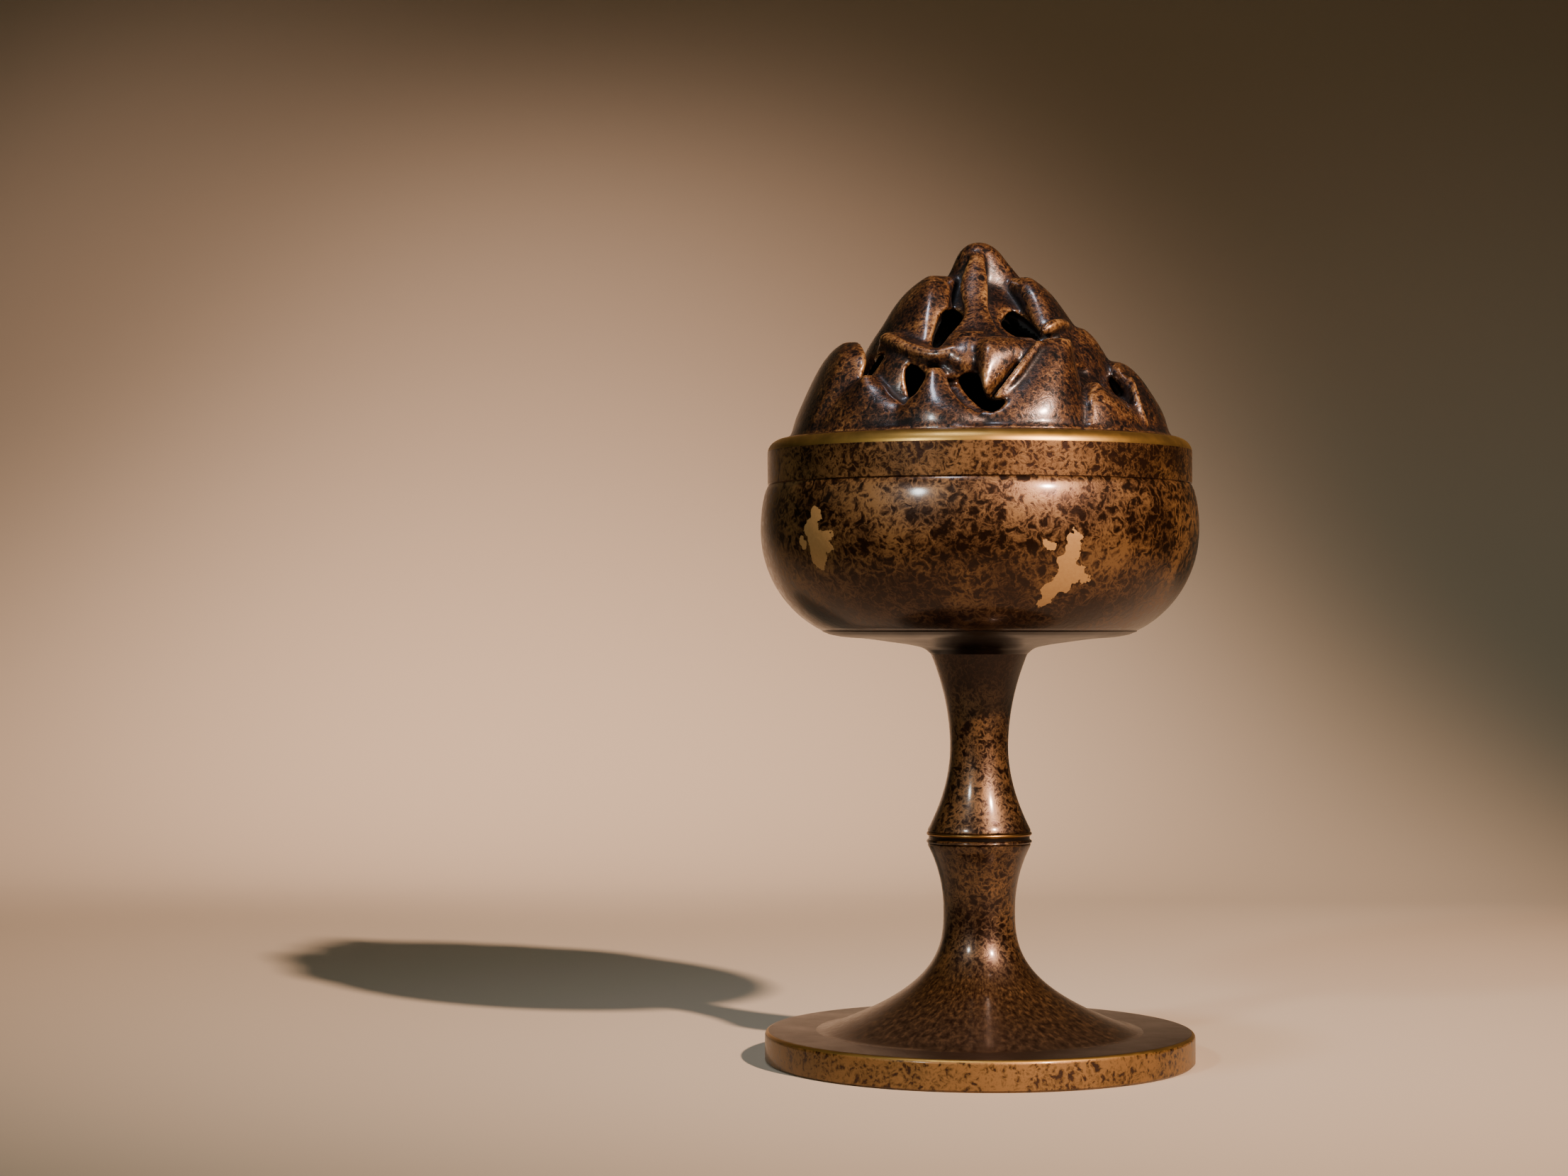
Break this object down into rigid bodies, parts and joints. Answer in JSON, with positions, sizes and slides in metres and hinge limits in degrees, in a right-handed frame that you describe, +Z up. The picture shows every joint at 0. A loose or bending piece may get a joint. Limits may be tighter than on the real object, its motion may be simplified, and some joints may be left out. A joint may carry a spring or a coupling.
{
  "type": "stemmed incense burner",
  "caption": "Round bronze incense burner on a waisted stem and disc foot, with a lift-off pierced lid cast as a mountain of overlapping peaks.",
  "frame": {"origin": "middle of the base disc's underside, on the surface the burner stands on", "axes": "+Z up along the stem, -Y towards the side that the picture shows, +X to its right"},
  "size_m": [0.1014, 0.1014, 0.1898],
  "materials": {
    "mottled_bronze": "cast bronze, dark brown patina with ochre mottling, satin",
    "dark_bronze": "turned bronze, smooth dark patina, satin",
    "worn_bronze": "bronze, patina rubbed back to gold with dark spots, satin",
    "polished_bronze": "bronze, turned and polished",
    "lid_bronze": "cast bronze, glossy brown patina rubbed to ochre on the ridges",
    "brass_sheet": "spun brass, tarnished",
    "steel": "zinc-plated steel",
    "felt": "dark pressed felt"
  },
  "bodies": {
    "burner_body": {"base_disc": "worn_bronze", "felt_pad": "felt", "lower_stem": "mottled_bronze", "node_ring": "polished_bronze", "upper_stem": "mottled_bronze", "bowl_saucer": "dark_bronze", "bowl": "mottled_bronze", "collar_ring": "worn_bronze", "tie_rod": "steel", "base_washer": "steel", "base_nut": "steel", "bowl_washer": "steel", "bowl_nut": "steel"},
    "liner": {"ash_liner": "brass_sheet"},
    "holder": {"incense_plate": "brass_sheet", "incense_pin": "brass_sheet"},
    "lid": {"pierced_lid": "lid_bronze", "lid_locating_ring": "lid_bronze"}
  },
  "joints": [
    {"name": "liner_lift", "type": "slide", "parent": "burner_body", "child": "liner", "axis": [0, 0, 1], "range_m": [0, 0.07]},
    {"name": "holder_lift", "type": "slide", "parent": "liner", "child": "holder", "axis": [0, 0, 1], "range_m": [0, 0.05]},
    {"name": "lid_lift", "type": "slide", "parent": "holder", "child": "lid", "axis": [0, 0, 1], "range_m": [0, 0.1]}
  ]
}
